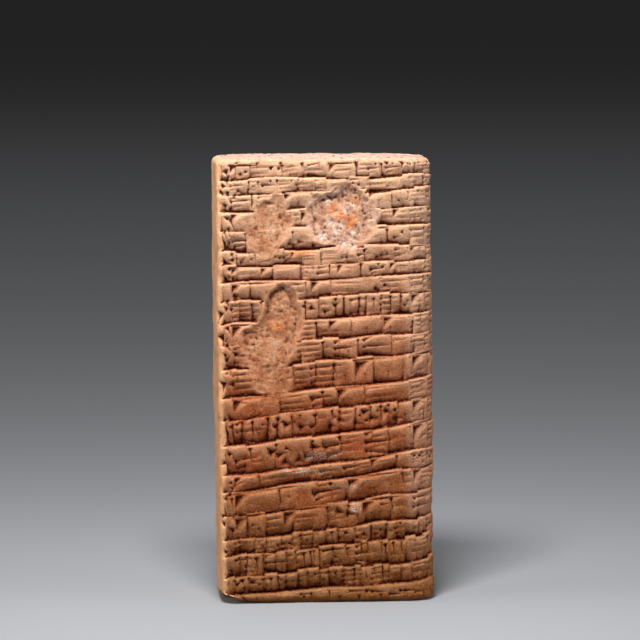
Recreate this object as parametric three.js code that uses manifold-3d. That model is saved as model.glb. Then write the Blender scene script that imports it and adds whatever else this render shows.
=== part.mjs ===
// A clay tablet, baked hard, that stands on its lower end. Millimetres, +Z up.
// The origin is the middle of the flat foot. The written front faces -Y, and +X is its right.
import * as THREE from "three";
import Module from "manifold-3d";
import { mergeVertices } from "three/addons/utils/BufferGeometryUtils.js";

// ---- Driving sizes of the block ----
const HEIGHT = 105.2;
const WIDTH = 51.1;
const THICKNESS = 26;
const CORNER_RADII = { frontRight: 6.5, backRight: 6, backLeft: 5, frontLeft: 3.4 };
const FRONT_SWELL = 0.7; // how far the middle of the front stands proud of its edges
const BACK_SWELL = 2.4;
const SIDE_SWELL = 0.35;
const FOOT_RADIUS = 1.8;
const HEAD_RADIUS = 1.6;
const HEAD_DOME = 0.4; // the upper end is a little higher in its middle
const LEAN = -1.1; // sideways drift of the upper end against the foot
const WALL_STEPS = 8; // bands of the wall between its two rounded ends

// ---- Driving sizes of the writing ----
const TEXT_LEFT = -23;
const TEXT_RIGHT = 18.6;
const EDGE_LEFT = 19.6; // the narrow field that rolls over the right-hand edge
const EDGE_RIGHT = 33;
const FLAT_RIGHT = WIDTH / 2 - CORNER_RADII.frontRight; // where the front starts to turn
const FIRST_RULE = 104.4; // height of the uppermost ruled line, at the middle of the front
// What each row of writing takes of the height, from the uppermost row down.
const ROW_HEIGHTS = [
  3.6, 3.1, 4.3, 4.5, 4.8, 3.5, 3.6, 4.3, 5.1, 4.8, 5.3, 6.4, 5.0, 5.9, 6.9, 4.0, 5.7, 6.0, 4.0, 5.5, 4.7,
];
// How each row is filled: m mixed, l long bars, d dense short strokes.
const ROW_STYLES = "mmmlmmmldlmmldmllmddd";
const RULE_CLIMB = { level: 1.2, most: 7.4, height: 33, spread: 33 }; // degrees, degrees, mm, mm
const BACK_ROWS = { first: 98, pitch: 8, count: 8, left: -20, right: 20 };
const LIFT = 0.6; // cutters stand this far above the skin, so that they cut through it
const SHORT_TAIL = 2.4; // a stroke that is shorter against its head is one pit
const TAIL = { widest: 0.7, deepest: 0.45 };
const STROKE_SLOPE = 0.5; // depth of a wedge against the width of its head
const SMALLEST_HEAD = 1.4; // strokes with a smaller head are too fine for the solid
const RULE = { share: 0.36, below: 0.15, depth: 0.4, pieces: 2, overlap: 0.05 };
const END_MARGINS = { foot: 2.2, head: 1.4 }; // no stroke is set nearer to either end
const SEED = 20260;

// ---- Driving sizes of the damage: dished losses by place round and up the skin, half sizes and depth ----
const LOSSES = [
  { s: 4.3, v: 91.6, across: 9.2, high: 8.4, depth: 1.7 },
  { s: -13.6, v: 89, across: 6.2, high: 8.6, depth: 0.9, turn: -12 },
  { s: -9.6, v: 68, across: 5, high: 9, depth: 1.5, turn: -4 },
  { s: -13, v: 58.5, across: 8.6, high: 9.5, depth: 1.1 },
  { s: -24.2, v: 8.8, across: 1.9, high: 3, depth: 1.2 },
  { s: -23.6, v: 82, across: 1.2, high: 1.8, depth: 0.6 },
  { s: -24, v: 48, across: 1.1, high: 1.5, depth: 0.6 },
];
const BROAD_LOSS = 4; // losses that reach further across than this are cut with a finer ball
const FOOT_LOSS = { centre: [-27, -9, -1.6], radii: [9.5, 9.5, 4.2] };

const wasm = await Module();
wasm.setup();

/** The same seed gives the same run of numbers from 0 to 1. */
function seededRandom(seed) {
  let state = seed >>> 0;
  return () => {
    state = (Math.imul(state, 1664525) + 1013904223) >>> 0;
    return state / 4294967296;
  };
}

// ---- The block ----

/** The plan outline as straight runs and corner arcs, walked from the middle of the front towards +X. */
function planRuns() {
  const a = WIDTH / 2;
  const b = THICKNESS / 2;
  const r = CORNER_RADII;
  const quarter = Math.PI / 2;
  return [
    { from: [0, -b], to: [a - r.frontRight, -b], steps: 3 },
    { centre: [a - r.frontRight, -b + r.frontRight], radius: r.frontRight, start: -quarter, steps: 4 },
    { from: [a, -b + r.frontRight], to: [a, b - r.backRight], steps: 2 },
    { centre: [a - r.backRight, b - r.backRight], radius: r.backRight, start: 0, steps: 3 },
    { from: [a - r.backRight, b], to: [-a + r.backLeft, b], steps: 8 },
    { centre: [-a + r.backLeft, b - r.backLeft], radius: r.backLeft, start: quarter, steps: 3 },
    { from: [-a, b - r.backLeft], to: [-a, -b + r.frontLeft], steps: 2 },
    { centre: [-a + r.frontLeft, -b + r.frontLeft], radius: r.frontLeft, start: 2 * quarter, steps: 3 },
    { from: [-a + r.frontLeft, -b], to: [0, -b], steps: 3 },
  ].map((run) => ({
    ...run,
    length: run.radius ? run.radius * quarter : Math.hypot(run.to[0] - run.from[0], run.to[1] - run.from[1]),
  }));
}

const RUNS = planRuns();
const GIRTH = RUNS.reduce((sum, run) => sum + run.length, 0);

/** The plan point at distance s along the outline, which may be negative. */
function planPoint(s) {
  let rest = ((s % GIRTH) + GIRTH) % GIRTH;
  let run = RUNS[0];
  for (run of RUNS) {
    if (rest <= run.length) break;
    rest -= run.length;
  }
  if (run.radius) {
    const angle = run.start + rest / run.radius;
    return [run.centre[0] + run.radius * Math.cos(angle), run.centre[1] + run.radius * Math.sin(angle)];
  }
  const t = Math.min(rest / run.length, 1);
  return [0, 1].map((i) => run.from[i] + t * (run.to[i] - run.from[i]));
}

/** The block's own skin at distance s round it and height v, with the plan drawn in by inset. */
function skinPoint(s, v, inset = endInset(v)) {
  const [px, py] = planPoint(s);
  const x = px * (1 - inset / (WIDTH / 2));
  const y = py * (1 - inset / (THICKNESS / 2));
  const along = Math.min(Math.max(v / HEIGHT, 0), 1);
  const swell = Math.sin(Math.PI * along);
  const acrossX = 1 - (2 * x / WIDTH) ** 2;
  const acrossY = 1 - (2 * y / THICKNESS) ** 2;
  const proud = y < 0 ? FRONT_SWELL : BACK_SWELL;
  return new THREE.Vector3(
    x + Math.sign(x) * SIDE_SWELL * acrossY * swell + LEAN * along,
    y + Math.sign(y) * proud * acrossX * swell,
    v,
  );
}

/** How far the rounding of the two ends draws the outline in at height v. */
function endInset(v) {
  const under = Math.max(FOOT_RADIUS - v, 0);
  const over = Math.max(v - (HEIGHT - HEAD_RADIUS), 0);
  return (
    FOOT_RADIUS - Math.sqrt(Math.max(FOOT_RADIUS ** 2 - under ** 2, 0)) +
    (HEAD_RADIUS - Math.sqrt(Math.max(HEAD_RADIUS ** 2 - over ** 2, 0)))
  );
}

/** Distances round the outline that put points where it bends and fewer where it is straight. */
function girthStations() {
  let at = 0;
  return RUNS.flatMap(({ length, steps }) => {
    const start = at;
    at += length;
    return Array.from({ length: steps }, (_, i) => start + (length * i) / steps);
  });
}

/** Heights of the rings of points, close together over the rounded ends. */
function heightStations() {
  const turns = [0, 30, 60, 90].map(THREE.MathUtils.degToRad);
  const foot = turns.map((t) => FOOT_RADIUS * (1 - Math.cos(t)));
  const head = turns.map((t) => HEIGHT - HEAD_RADIUS * (1 - Math.cos(t))).reverse();
  const low = foot[3];
  const high = head[0];
  const wall = Array.from({ length: WALL_STEPS - 1 }, (_, i) => low + ((high - low) * (i + 1)) / WALL_STEPS);
  return [...foot, ...wall, ...head];
}

/** The plain block: rings of points up the wall, a flat foot and a slightly domed head. */
function blockGeometry() {
  const stations = girthStations();
  const rings = heightStations();
  const n = stations.length;
  const points = rings.flatMap((v) => stations.map((s) => skinPoint(s, v)));
  const domeInset = THICKNESS / 4;
  stations.forEach((s) => {
    const p = skinPoint(s, HEIGHT, HEAD_RADIUS + domeInset);
    points.push(p.setZ(HEIGHT + HEAD_DOME * 0.75));
  });
  const footCentre = points.push(new THREE.Vector3(0, 0, 0)) - 1;
  const headCentre = points.push(new THREE.Vector3(LEAN, 0, HEIGHT + HEAD_DOME)) - 1;
  const faces = [];
  for (let k = 0; k < rings.length; k++) {
    for (let j = 0; j < n; j++) {
      const a = k * n + j;
      const b = k * n + ((j + 1) % n);
      faces.push(a, b, b + n, a, b + n, a + n);
    }
  }
  const last = rings.length * n;
  for (let j = 0; j < n; j++) {
    faces.push(footCentre, (j + 1) % n, j);
    faces.push(headCentre, last + j, last + ((j + 1) % n));
  }
  return new THREE.BufferGeometry().setFromPoints(points).setIndex(faces);
}

// ---- Solids ----

/** A closed geometry as a solid for cutting. */
function solidOf(geometry) {
  const bare = new THREE.BufferGeometry().setAttribute("position", geometry.getAttribute("position"));
  bare.setIndex(geometry.index);
  const merged = mergeVertices(bare, 1e-4);
  return new wasm.Manifold(
    new wasm.Mesh({
      numProp: 3,
      vertProperties: new Float32Array(merged.attributes.position.array),
      triVerts: new Uint32Array(merged.index.array),
    }),
  );
}

/** A cut solid's surface as a geometry. */
function geometryOf(solid) {
  const mesh = solid.getMesh();
  return new THREE.BufferGeometry()
    .setAttribute("position", new THREE.BufferAttribute(new Float32Array(mesh.vertProperties), 3))
    .setIndex(new THREE.BufferAttribute(new Uint32Array(mesh.triVerts), 1));
}

// ---- Places on the skin ----

/** The frame of the skin at (s, v): X goes round it to the right, Y up it and Z straight out. */
function frameOn(s, v) {
  const step = 0.5;
  const right = skinPoint(s + step, v).sub(skinPoint(s - step, v)).normalize();
  const up = skinPoint(s, Math.min(v + step, HEIGHT)).sub(skinPoint(s, Math.max(v - step, 0)));
  const out = new THREE.Vector3().crossVectors(right, up).normalize();
  up.crossVectors(out, right);
  return new THREE.Matrix4().makeBasis(right, up, out).setPosition(skinPoint(s, v));
}

/** A pit with three flat walls: outline holds three points on the skin, counter-clockwise round the floor. */
function pitCutter(frame, outline, floor, depth) {
  const grow = (depth + LIFT) / depth;
  const corners = outline.map(([x, y]) => [
    floor[0] + (x - floor[0]) * grow,
    floor[1] + (y - floor[1]) * grow,
    LIFT,
  ]);
  const points = [...corners, [...floor, -depth]].map((p) => new THREE.Vector3(...p));
  const geometry = new THREE.BufferGeometry().setFromPoints(points).applyMatrix4(frame);
  geometry.setIndex([0, 1, 2, 1, 0, 3, 2, 1, 3, 0, 2, 3]);
  return solidOf(geometry);
}

// ---- The writing: strokes that stand for an inscription and spell nothing ----

/**
 * One stroke of a square-ended reed: {x, y} is its head, tail its length, turn its direction in degrees,
 * head the width of its head and drop the share of the head that lies on its right-hand side.
 */
const stroke = (x, y, tail, turn, head, drop = 0.5) => ({ x, y, tail, turn, head, drop });

// Each figure fills a cell of width w and height h, measured right and down from the cell's upper left.
const FIGURES = {
  bar(w, h, random) {
    const ticks = Math.floor(random() * 3);
    const marks = [stroke(0.2, -0.06 * h, w - 0.6, 0, 0.84 * h, 0.9)];
    for (let i = 0; i < ticks; i++) {
      marks.push(stroke(w * (0.35 + 0.28 * i + 0.1 * random()), -0.55 * h, 0.42 * h, -90, 0.16 * h));
    }
    return marks;
  },
  stack(w, h, random) {
    const count = random() < 0.5 ? 2 : 3;
    const marks = [];
    for (let i = 0; i < count; i++) {
      const y = -h * (0.14 + (0.78 * (i + 0.3)) / count);
      marks.push(stroke(0.2 + 0.3 * random(), y, 0.86 * w, 3 * (random() - 0.5), (0.8 * h) / count, 0.6));
    }
    if (random() < 0.45) marks.push(stroke(0.86 * w, -0.08 * h, 0.84 * h, -90, 0.32 * h));
    return marks;
  },
  uprights(w, h, random) {
    const count = w > 0.9 * h ? 3 : 2;
    const marks = [];
    for (let i = 0; i < count; i++) {
      const x = (w * (i + 0.5)) / count;
      marks.push(stroke(x, -h * (0.06 + 0.1 * random()), 0.84 * h, -90 + 6 * (random() - 0.5), 0.4 * h));
    }
    return marks;
  },
  hooks(w, h, random) {
    const count = 2 + Math.floor(random() * 2);
    const marks = [];
    for (let i = 0; i < count; i++) {
      const x = w * (0.12 + (0.76 * i) / count);
      marks.push(stroke(x, -h * (0.3 + 0.4 * random()), 0.46 * h, -40 + 80 * random(), 0.5 * h));
    }
    return marks;
  },
  box(w, h, random) {
    return [
      stroke(0.1 * w, -0.2 * h, 0.8 * w, 0, 0.34 * h, 0.6),
      stroke(0.1 * w, -0.8 * h, 0.8 * w, 0, 0.34 * h, 0.6),
      stroke(0.1 * w, -0.14 * h, 0.72 * h, -90, 0.26 * h),
      stroke(0.86 * w, -0.14 * h, 0.72 * h, -90, 0.34 * h),
      stroke(w * (0.36 + 0.1 * random()), -0.5 * h, 0.34 * h, -30 * random(), 0.34 * h),
    ];
  },
  cross(w, h, random) {
    return [
      stroke(0.06 * w, -h * (0.42 + 0.1 * random()), 0.9 * w, 2, 0.48 * h, 0.6),
      stroke(w * (0.45 + 0.15 * random()), -0.08 * h, 0.84 * h, -90, 0.36 * h),
      stroke(0.15 * w, -0.78 * h, 0.5 * w, 12 * random(), 0.3 * h),
    ];
  },
  fan(w, h, random) {
    const marks = [];
    for (let i = 0; i < 3; i++) {
      const y = -h * (0.2 + 0.28 * i);
      marks.push(stroke(0.1 * w + 0.2 * random(), y, 0.8 * w, 14 - 16 * i + 6 * random(), 0.34 * h));
    }
    return marks;
  },
};

// How often each figure comes up in each style of row, and how wide its cell is against the row's height.
const STYLES = {
  m: { bar: 3, stack: 3, uprights: 1, hooks: 2, box: 1, cross: 2, fan: 1 },
  l: { bar: 8, stack: 1, uprights: 1, hooks: 1, box: 0, cross: 1, fan: 0 },
  d: { bar: 0, stack: 3, uprights: 2, hooks: 3, box: 3, cross: 2, fan: 2 },
  e: { bar: 3, stack: 5, uprights: 1, hooks: 1, box: 0, cross: 1, fan: 0 },
  b: { bar: 5, stack: 2, uprights: 1, hooks: 1, box: 0, cross: 0, fan: 0 },
};
const CELL_WIDTHS = { bar: 2.1, stack: 1.3, uprights: 0.9, hooks: 1.1, box: 1.2, cross: 1.3, fan: 1.4 };

/** A figure's name, drawn by its weight in the style. */
function drawFigure(style, random) {
  const weights = Object.entries(STYLES[style]);
  let rest = random() * weights.reduce((sum, [, weight]) => sum + weight, 0);
  for (const [name, weight] of weights) {
    rest -= weight;
    if (rest < 0) return name;
  }
  return weights[0][0];
}

/** The strokes of one row, in cells from left to right under the line top(u). */
function rowStrokes(left, right, height, style, top, climb, random) {
  const marks = [];
  let u = left;
  while (u < right - 0.6 * height) {
    const name = drawFigure(style, random);
    const stretch = (name === "bar" && style === "l" ? 1.5 : 1) * (0.85 + 0.4 * random());
    const width = Math.min(CELL_WIDTHS[name] * stretch * height, right - u);
    for (const mark of FIGURES[name](width, height, random)) {
      const s = u + mark.x;
      marks.push({ ...mark, s, v: top(s) + mark.y, turn: mark.turn + climb });
    }
    u += width;
  }
  return marks;
}

/** The angle at which the ruled line at height v climbs to the right, in degrees: a bell over the height. */
function climbAt(v) {
  const { level, most, height, spread } = RULE_CLIMB;
  return level + (most - level) * Math.exp(-(((v - height) / spread) ** 2));
}

/** Height at distance s of the ruled line that crosses the middle of the front at v. */
const ruleHeight = (v, s) => v + Math.tan(THREE.MathUtils.degToRad(climbAt(v))) * s;

/** Every ruled line and stroke of the front, its rolled-over edge and the back. */
function writing() {
  const random = seededRandom(SEED);
  const rules = [];
  const marks = [];
  let v = FIRST_RULE;
  ROW_HEIGHTS.forEach((height, i) => {
    const at = v;
    const top = (s) => ruleHeight(at, s);
    rules.push({ v: at, left: TEXT_LEFT, right: FLAT_RIGHT, above: RULE.share * (ROW_HEIGHTS[i - 1] ?? 2) });
    marks.push(...rowStrokes(TEXT_LEFT, TEXT_RIGHT, height, ROW_STYLES[i], top, climbAt(at), random));
    const edgeRight = EDGE_RIGHT - 3 * random();
    marks.push(...rowStrokes(EDGE_LEFT, edgeRight, height * 0.9, "e", top, climbAt(at), random));
    v -= height;
  });
  const behind = GIRTH / 2;
  for (let i = 0; i < BACK_ROWS.count; i++) {
    const at = BACK_ROWS.first - i * BACK_ROWS.pitch;
    rules.push({ v: at, left: behind + BACK_ROWS.left, right: behind + BACK_ROWS.right, above: 1 });
    const right = behind + BACK_ROWS.right - 8 * random();
    marks.push(...rowStrokes(behind + BACK_ROWS.left, right, BACK_ROWS.pitch, "b", () => at, 0, random));
  }
  return { rules, marks };
}

/** The cutters of one stroke: a three-walled head and, past its point, a long thin tail. */
function strokeCutters({ s, v, tail, turn, head, drop }) {
  const frame = frameOn(s, v).multiply(new THREE.Matrix4().makeRotationZ(THREE.MathUtils.degToRad(turn)));
  const left = head * (1 - drop);
  const right = head * drop;
  const depth = STROKE_SLOPE * head;
  const isShort = tail < SHORT_TAIL * head;
  const reach = isShort ? tail : 0.95 * head;
  const floor = [0.25 * head, (left - right) / 4];
  const headPit = pitCutter(frame, [[0, left], [0, -right], [reach, 0]], floor, depth);
  if (isShort) return [headPit];
  const width = Math.min(0.45 * head, TAIL.widest);
  const outline = [[0.1, 0.7 * width], [0.1, -0.3 * width], [tail, 0]];
  const tailPit = pitCutter(frame, outline, [0.3 * reach, -0.1 * width], Math.min(0.6 * depth, TAIL.deepest));
  return [headPit, tailPit];
}

/** A ruled line: straight pieces of a groove whose upper wall is gentle and whose lower wall is steep. */
function ruleCutters({ v, left, right, above }) {
  const { below, depth, pieces } = RULE;
  const grow = (depth + LIFT) / depth;
  const section = [[0, above * grow, LIFT], [0, -below * grow, LIFT], [0, 0, -depth]];
  const sectionOn = (s) => {
    const frame = frameOn(s, ruleHeight(v, s));
    return section.map((p) => new THREE.Vector3(...p).applyMatrix4(frame));
  };
  const stations = Array.from({ length: pieces + 1 }, (_, i) => left + ((right - left) * i) / pieces);
  return stations.slice(1).map((to, i) => {
    const ends = [stations[i] - RULE.overlap, to + RULE.overlap].flatMap(sectionOn);
    const geometry = new THREE.BufferGeometry().setFromPoints(ends);
    geometry.setIndex([0, 2, 1, 3, 4, 5, 0, 1, 4, 0, 4, 3, 1, 2, 5, 1, 5, 4, 2, 0, 3, 2, 3, 5]);
    return solidOf(geometry);
  });
}

// ---- Damage ----

/** A dished loss: a ball drawn out to the loss's own size, sunk into the skin by its depth. */
function lossCutter({ s, v, across, high, depth, turn = 0 }) {
  const ball = new THREE.IcosahedronGeometry(1, across > BROAD_LOSS ? 2 : 0);
  const stretch = 2 / Math.sqrt(3); // the middle of the ball stands one depth above the skin
  ball.scale(across * stretch, high * stretch, 2 * depth);
  ball.translate(0, 0, depth);
  ball.rotateZ(THREE.MathUtils.degToRad(turn));
  return solidOf(indexed(ball.applyMatrix4(frameOn(s, v))));
}

/** The lost corner of the foot, at the lower left of the front. */
function footLossCutter() {
  const ball = new THREE.IcosahedronGeometry(1, 1);
  ball.scale(...FOOT_LOSS.radii);
  ball.translate(...FOOT_LOSS.centre);
  return solidOf(indexed(ball));
}

/** A geometry with an index and positions alone. */
function indexed(geometry) {
  const bare = new THREE.BufferGeometry().setAttribute("position", geometry.getAttribute("position"));
  return mergeVertices(bare, 1e-4);
}

/** Whether a place in the writing has been lost, so that no stroke is left there. */
const isLost = (s, v) =>
  LOSSES.some(({ s: cs, v: cv, across, high, turn = 0 }) => {
    const angle = THREE.MathUtils.degToRad(turn);
    const x = (s - cs) * Math.cos(angle) + (v - cv) * Math.sin(angle);
    const y = (v - cv) * Math.cos(angle) - (s - cs) * Math.sin(angle);
    return (x / across) ** 2 + (y / high) ** 2 < 1;
  });

const { rules, marks } = writing();
const isCut = ({ s, v, head }) =>
  head > SMALLEST_HEAD && v > END_MARGINS.foot && v < HEIGHT - END_MARGINS.head && !isLost(s, v);
const cutMarks = marks.filter(isCut);
const block = solidOf(blockGeometry());
const cutters = [...rules.flatMap(ruleCutters), ...cutMarks.flatMap(strokeCutters)];
const written = wasm.Manifold.difference([block, ...cutters]);
const worn = wasm.Manifold.difference([written, ...LOSSES.map(lossCutter), footLossCutter()]);

const clay = new THREE.MeshStandardMaterial({ color: 0xb9835a, roughness: 0.9, metalness: 0 });
const tablet = new THREE.Mesh(geometryOf(worn), clay);
tablet.name = "tablet";
const object = new THREE.Group();
object.add(tablet);

export default object;
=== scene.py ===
"""A clay tablet with rows of pressed strokes, standing on its lower end, with its studio stage.

Lengths inside the functions are millimetres; the last step of every piece turns them to metres.
The skin of the tablet is read in two numbers: s, the distance round it from the middle of the
front (positive to the right), and v, the height above the foot.
"""
import math

import bpy
import numpy as np
from bpy.props import FloatProperty, FloatVectorProperty, IntProperty, PointerProperty
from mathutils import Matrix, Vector


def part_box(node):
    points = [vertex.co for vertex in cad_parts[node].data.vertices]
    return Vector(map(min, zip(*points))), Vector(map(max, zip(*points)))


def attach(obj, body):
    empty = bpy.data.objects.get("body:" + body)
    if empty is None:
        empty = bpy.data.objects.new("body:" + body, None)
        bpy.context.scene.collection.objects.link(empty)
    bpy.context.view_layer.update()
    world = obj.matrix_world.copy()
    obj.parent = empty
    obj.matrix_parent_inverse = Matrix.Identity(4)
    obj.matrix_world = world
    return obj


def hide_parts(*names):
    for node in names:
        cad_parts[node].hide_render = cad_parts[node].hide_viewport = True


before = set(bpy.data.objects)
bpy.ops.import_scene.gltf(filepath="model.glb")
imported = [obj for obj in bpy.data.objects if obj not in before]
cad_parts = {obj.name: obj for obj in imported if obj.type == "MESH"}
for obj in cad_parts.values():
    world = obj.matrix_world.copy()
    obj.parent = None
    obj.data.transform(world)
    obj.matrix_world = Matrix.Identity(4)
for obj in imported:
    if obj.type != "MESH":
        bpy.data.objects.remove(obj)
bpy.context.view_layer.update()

bl_info = {
    "name": "Clay Tablet",
    "version": (1, 0, 0),
    "blender": (4, 5, 0),
    "location": "View3D > Sidebar > Tablet",
    "description": "Builds a fired clay tablet with rows of reed strokes, and the stage it stands on",
    "category": "Add Mesh",
}

MM = 0.001
NODE = "tablet"
LOWEST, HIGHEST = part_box(NODE)

# ---- The block, as the solid has it ----
HEAD_DOME = 0.4
HEIGHT = HIGHEST.z / MM - HEAD_DOME
WIDTH = 51.1
THICKNESS = 26.0
CORNERS = {"front_right": 6.5, "back_right": 6.0, "back_left": 5.0, "front_left": 3.4}
FRONT_SWELL = 0.7
BACK_SWELL = 2.4
SIDE_SWELL = 0.35
FOOT_RADIUS = 1.8
HEAD_RADIUS = 1.6
LEAN = -1.1

# ---- The writing's places, as the solid has them ----
TEXT_LEFT = -23.0
TEXT_RIGHT = 18.6
EDGE_LEFT = 19.6
EDGE_RIGHT = 33.0
FIRST_RULE = 104.4
ROW_HEIGHTS = [3.6, 3.1, 4.3, 4.5, 4.8, 3.5, 3.6, 4.3, 5.1, 4.8, 5.3, 6.4, 5.0, 5.9, 6.9, 4.0, 5.7, 6.0, 4.0,
               5.5, 4.7]
ROW_STYLES = "mmmlmmmldlmmldmllmddd"  # m mixed, l long bars, d dense short strokes
CLIMB = {"level": 1.2, "most": 7.4, "height": 33.0, "spread": 33.0}
BACK_ROWS = {"first": 98.0, "pitch": 8.0, "count": 8, "left": -20.0, "right": 20.0}
END_MARGINS = {"foot": 2.2, "head": 1.4}


def linear(code):
    """An sRGB colour code of six hex digits as linear red, green and blue."""
    values = [int(code[i:i + 2], 16) / 255 for i in (0, 2, 4)]
    return tuple(c / 12.92 if c <= 0.04045 else ((c + 0.055) / 1.055) ** 2.4 for c in values)


# ---- Colours of the clay ----
CLAY = {
    "middle": "9a5632",  # the body of the clay, where nothing lies over it
    "red": "9a4826",
    "foot": "804e23",
    "head": "be9477",
    "dust": "c9946c",
    "stain": "74401f",
    "strip": "c09a80",  # greyer, over the right-hand edge
    "rim": "eeb485",
    "top": "be9c8e",
    "lip_highlight": "ecb88e",  # painted highlight on the lips that stand proud, stronger towards the head
    # hollow and groove: painted shade, darker and redder where the strokes lie in shade
    "hollow": "621700",
    "groove": "3c0900",
    "chalk": "e6d6c8",
    # pit: dark specks, painted shade of small pits on the top face, and dark grain all over
    "pit": "552a14",
}
SPALL = [(0.34, "84472c"), (0.46, "a46a48"), (0.56, "b98866"), (0.7, "ccaa8e")]
CRUST = [(0.34, "925f4a"), (0.45, "b0836b"), (0.55, "c6a590"), (0.66, "dfcec2"), (0.8, "c49a86")]
EMBER = [(0.34, "a8522a"), (0.5, "c8743c"), (0.68, "e0a878")]


# ---- The block's surface ----

def plan_runs():
    """The plan outline as straight runs and quarter arcs, from the middle of the front towards +X."""
    a = WIDTH / 2
    b = THICKNESS / 2
    fr, br, bl, fl = (CORNERS[k] for k in ("front_right", "back_right", "back_left", "front_left"))
    quarter = math.pi / 2
    return [
        ("line", (0, -b), (a - fr, -b)),
        ("arc", (a - fr, -b + fr), fr, -quarter),
        ("line", (a, -b + fr), (a, b - br)),
        ("arc", (a - br, b - br), br, 0),
        ("line", (a - br, b), (-a + bl, b)),
        ("arc", (-a + bl, b - bl), bl, quarter),
        ("line", (-a, b - bl), (-a, -b + fl)),
        ("arc", (-a + fl, -b + fl), fl, 2 * quarter),
        ("line", (-a + fl, -b), (0, -b)),
    ]


def run_length(run):
    """A quarter arc is its radius times half of pi; a straight run is the distance between its ends."""
    if run[0] == "arc":
        return run[2] * math.pi / 2
    return math.hypot(run[2][0] - run[1][0], run[2][1] - run[1][1])


RUNS = plan_runs()
GIRTH = sum(run_length(run) for run in RUNS)


def plan_points(s):
    """The plan point at each distance s round the outline: centre plus radius times (cos, sin) of the
    angle walked on an arc, and an even share of the way on a straight run."""
    rest = np.mod(s, GIRTH)
    x = np.zeros_like(rest)
    y = np.zeros_like(rest)
    at = 0.0
    for run in RUNS:
        length = run_length(run)
        here = (rest >= at) & (rest <= at + length)
        walked = rest[here] - at
        if run[0] == "arc":
            angle = run[3] + walked / run[2]
            x[here] = run[1][0] + run[2] * np.cos(angle)
            y[here] = run[1][1] + run[2] * np.sin(angle)
        else:
            share = walked / length
            x[here] = run[1][0] + share * (run[2][0] - run[1][0])
            y[here] = run[1][1] + share * (run[2][1] - run[1][1])
        at += length
    return x, y


def end_inset(v):
    """How far the quarter-round of either end draws the plan in: radius minus root(radius² - reach²)."""
    under = np.clip(FOOT_RADIUS - v, 0, FOOT_RADIUS)
    over = np.clip(v - (HEIGHT - HEAD_RADIUS), 0, HEAD_RADIUS)
    low = FOOT_RADIUS - np.sqrt(FOOT_RADIUS ** 2 - under ** 2)
    return low + HEAD_RADIUS - np.sqrt(HEAD_RADIUS ** 2 - over ** 2)


def skin_points(s, v):
    """The plain wall: the plan point drawn in by the end rounding, plus a swell that is greatest in the
    middle, sin(pi v / height) times (1 - (2x / width)²), and a sideways lean that grows with height."""
    px, py = plan_points(s)
    inset = end_inset(v)
    x = px * (1 - inset / (WIDTH / 2))
    y = py * (1 - inset / (THICKNESS / 2))
    along = np.clip(v / HEIGHT, 0, 1)
    swell = np.sin(np.pi * along)
    proud = np.where(y < 0, FRONT_SWELL, BACK_SWELL)
    x_out = x + np.sign(x) * SIDE_SWELL * (1 - (2 * y / THICKNESS) ** 2) * swell + LEAN * along
    y_out = y + np.sign(y) * proud * (1 - (2 * x / WIDTH) ** 2) * swell
    return np.stack([x_out, y_out, v + 0 * x], axis=-1)


# ---- The skin laid flat, as a field of depths ----

STEP = 0.1
DEEPEST = 2.2  # no head is pressed deeper than this
SEAM = -37.0  # the field starts on the plain left-hand side
COLUMNS = int(round(GIRTH / STEP))
ROWS = int(round(HEIGHT / STEP))
S_AXIS = SEAM + (np.arange(COLUMNS) + 0.5) * (GIRTH / COLUMNS)
V_AXIS = (np.arange(ROWS) + 0.5) * (HEIGHT / ROWS)
S, V = np.meshgrid(S_AXIS, V_AXIS)


def frequencies():
    """Cycles per millimetre squared, for each entry of the field's transform."""
    across = np.fft.rfftfreq(COLUMNS, GIRTH / COLUMNS)
    up = np.fft.fftfreq(ROWS, HEIGHT / ROWS)
    return up[:, None] ** 2 + across[None, :] ** 2


FREQUENCY_2 = frequencies()


def soften(field, radius):
    """The field blurred by a Gaussian of that radius: its transform times exp(-2 pi² radius² f²)."""
    kept = np.exp(-2 * math.pi ** 2 * radius ** 2 * FREQUENCY_2)
    return np.fft.irfft2(np.fft.rfft2(field) * kept, s=field.shape)


def clouds(seed, size):
    """Even noise with lumps of about that size: white noise kept between two Gaussian blurs, scaled so
    that its spread is one."""
    white = np.fft.rfft2(np.random.default_rng(seed).standard_normal((ROWS, COLUMNS)))
    broad = np.exp(-2 * math.pi ** 2 * (0.35 * size) ** 2 * FREQUENCY_2)
    narrow = np.exp(-2 * math.pi ** 2 * (0.8 * size) ** 2 * FREQUENCY_2)
    field = np.fft.irfft2(white * (broad - narrow), s=(ROWS, COLUMNS))
    return field / field.std()


def smooth_step(low, high, value):
    """0 below low, 1 above high, and t²(3 - 2t) between."""
    t = np.clip((value - low) / (high - low), 0, 1)
    return t * t * (3 - 2 * t)


# ---- The writing: strokes that stand for an inscription and spell nothing ----

def seeded(seed):
    """The same seed gives the same run of numbers from 0 to 1, by a linear congruence."""
    state = seed

    def draw():
        nonlocal state
        state = (state * 1664525 + 1013904223) % 4294967296
        return state / 4294967296

    return draw


def stroke(x, y, tail, turn, head, drop=0.5, lean=0.0):
    """One press of a square reed: where its head is, its length, direction in degrees, head width, the
    share of the head that lies on its right-hand side, and how much of the clay above its tail leans in."""
    return {"x": x, "y": y, "tail": tail, "turn": turn, "head": head, "drop": drop, "lean": lean}


def bar(w, h, draw):
    """A long level stroke with a heavy head, and short ticks that stand on the next line."""
    ticks = int(draw() * 3)
    marks = [stroke(0.2, -0.06 * h, w - 0.6, 0, 0.84 * h, 0.9, 0.12 * h)]
    for i in range(ticks):
        marks.append(stroke(w * (0.35 + 0.28 * i + 0.1 * draw()), -0.55 * h, 0.42 * h, -90, 0.16 * h))
    return marks


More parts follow.
